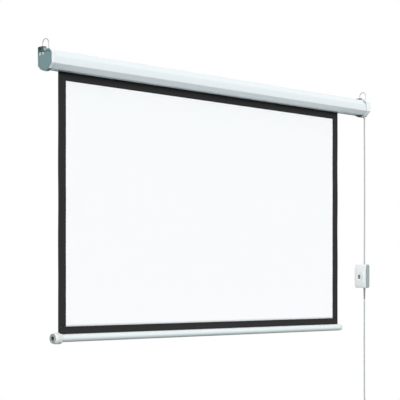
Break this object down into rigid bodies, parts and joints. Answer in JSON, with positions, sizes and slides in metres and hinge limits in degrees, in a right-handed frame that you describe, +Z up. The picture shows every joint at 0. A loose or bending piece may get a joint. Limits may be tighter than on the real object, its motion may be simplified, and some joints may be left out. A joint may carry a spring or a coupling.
{
  "type": "motorized projection screen",
  "caption": "Wall or hook hung electric projection screen: octagonal casing, white sheet with black borders, weighted bottom bar, and a cord switch.",
  "frame": {"origin": "middle of the casing's flat back, at mid height of the casing, where it lies against the wall", "axes": "+X along the casing towards the motor end, -Y the way the white side of the sheet faces, +Y into the wall, +Z up"},
  "size_m": [2.0969, 0.0845, 1.7353],
  "materials": {
    "casing_paint": "white powder coat, satin",
    "cap_plastic": "white moulded plastic, fine grain",
    "grey_plastic": "grey-green moulded plastic",
    "screw_steel": "zinc plated",
    "bail_steel": "bright drawn wire",
    "adjuster_plastic": "grey plastic",
    "roller_steel": "galvanized",
    "motor_steel": "zinc plated tube",
    "dark_plastic": "dark moulded plastic",
    "white_fabric": "matte white coated cloth",
    "black_fabric": "matte black coated cloth",
    "bar_paint": "white powder coat, satin",
    "knob_plastic": "white moulded plastic, half gloss",
    "cable_sheath": "light grey sheath",
    "relief_rubber": "dark grey, ribbed",
    "switch_plastic": "white moulded plastic, half gloss",
    "switch_shell_plastic": "grey moulded plastic, fine grain",
    "rocker_plastic": "dark grey, half gloss",
    "tie_plastic": "black",
    "plug_rubber": "moulded, fine grain",
    "pin_steel": "nickel plated"
  },
  "bodies": {
    "case": {"casing_shell": "casing_paint", "left_end_cap": "cap_plastic", "left_cap_cover": "grey_plastic", "left_cap_screw_1": "screw_steel", "left_cap_screw_2": "screw_steel", "idler_pin": "screw_steel", "right_end_cap": "cap_plastic", "right_cap_cover": "grey_plastic", "right_cap_screw_1": "screw_steel", "right_cap_screw_2": "screw_steel", "motor_tube": "motor_steel", "motor_head": "dark_plastic", "viewing_fabric": "white_fabric", "black_masking": "black_fabric", "motor_lead": "cable_sheath", "case_cable_relief": "cable_sheath", "upper_cable": "cable_sheath", "box_inlet_bush": "cable_sheath", "switch_front_plate": "switch_plastic", "switch_back_shell": "switch_shell_plastic", "switch_bezel": "switch_plastic", "switch_mechanism": "dark_plastic", "switch_screw_1": "screw_steel", "switch_screw_2": "screw_steel", "box_strain_relief": "relief_rubber", "supply_cable": "cable_sheath", "cable_coil": "cable_sheath", "coil_tie": "tie_plastic", "lead_tail": "cable_sheath", "plug_body": "plug_rubber", "plug_pin_1": "pin_steel", "plug_pin_2": "pin_steel"},
    "bar": {"bottom_bar": "bar_paint", "weight_rod": "roller_steel", "pull_knob": "knob_plastic", "bar_end_plug": "knob_plastic", "bottom_border": "black_fabric", "fabric_spline": "grey_plastic"},
    "roller": {"roller_tube": "roller_steel", "fabric_wrap": "black_fabric", "idler_plug": "dark_plastic", "limit_crown": "dark_plastic", "motor_output_shaft": "screw_steel", "drive_adapter": "dark_plastic"},
    "left_bail": {"left_bail": "bail_steel"},
    "right_bail": {"right_bail": "bail_steel"},
    "rocker": {"switch_rocker": "rocker_plastic"},
    "up_limit_adjuster": {"limit_screw_up": "adjuster_plastic"},
    "down_limit_adjuster": {"limit_screw_down": "adjuster_plastic"}
  },
  "joints": [
    {"name": "screen_drop", "type": "slide", "parent": "case", "child": "bar", "axis": [0, 0, 1], "range_m": [0, 1.009], "deforming": ["viewing_fabric", "black_masking"]},
    {"name": "roller_spin", "type": "hinge", "parent": "case", "child": "roller", "pos_m": [0, -0.04183, 0], "axis": [1, 0, 0], "range_deg": [0, 2530]},
    {"name": "left_bail_tilt", "type": "hinge", "parent": "case", "child": "left_bail", "pos_m": [-1.0205, -0.0405, 0.0325], "axis": [0, 1, 0], "range_deg": [0, 55]},
    {"name": "right_bail_tilt", "type": "hinge", "parent": "case", "child": "right_bail", "pos_m": [1.017, -0.0405, 0.0325], "axis": [0, 1, 0], "range_deg": [-70, 0]},
    {"name": "rocker_press", "type": "hinge", "parent": "case", "child": "rocker", "pos_m": [0.99907, -0.03422, -0.827], "axis": [-0.1668, -0.986, 0], "range_deg": [-7, 7], "stiffness_Nm_per_rad": 0.12},
    {"name": "up_limit_turn", "type": "hinge", "parent": "case", "child": "up_limit_adjuster", "pos_m": [1.0025, -0.042, -0.0446], "axis": [0, 0, 1], "continuous": true},
    {"name": "down_limit_turn", "type": "hinge", "parent": "case", "child": "down_limit_adjuster", "pos_m": [1.0145, -0.042, -0.0446], "axis": [0, 0, 1], "continuous": true}
  ],
  "couplings": [
    {"joint": "roller_spin", "follows": "screen_drop", "rad_per_m": 43.67}
  ]
}
